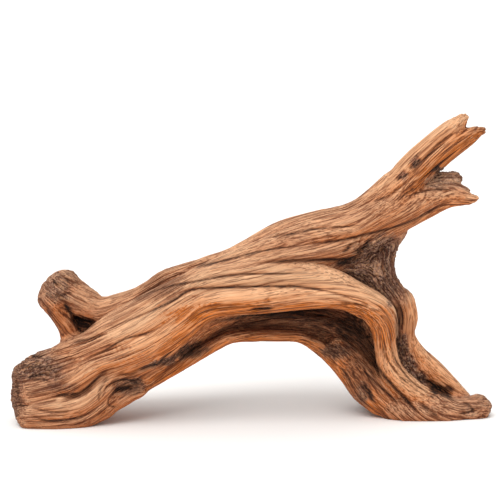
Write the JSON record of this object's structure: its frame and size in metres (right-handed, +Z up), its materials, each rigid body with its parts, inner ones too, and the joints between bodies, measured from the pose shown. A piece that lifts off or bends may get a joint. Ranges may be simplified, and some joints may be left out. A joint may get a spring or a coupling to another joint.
{
  "type": "driftwood piece",
  "caption": "Bleached driftwood root arching over two feet, with a broken knob at one end and forked, torn prongs rising at the other.",
  "frame": {"origin": "on the surface it stands on, under the middle of the wood's box", "axes": "+X along the wood from the knob end towards the prongs, -Y the front with the hollow, +Z up"},
  "size_m": [0.4858, 0.1277, 0.3077],
  "materials": {
    "weathered_wood": "dry, bleached and matte, with raised grain"
  },
  "bodies": {
    "root": {"driftwood": "weathered_wood"}
  },
  "joints": []
}
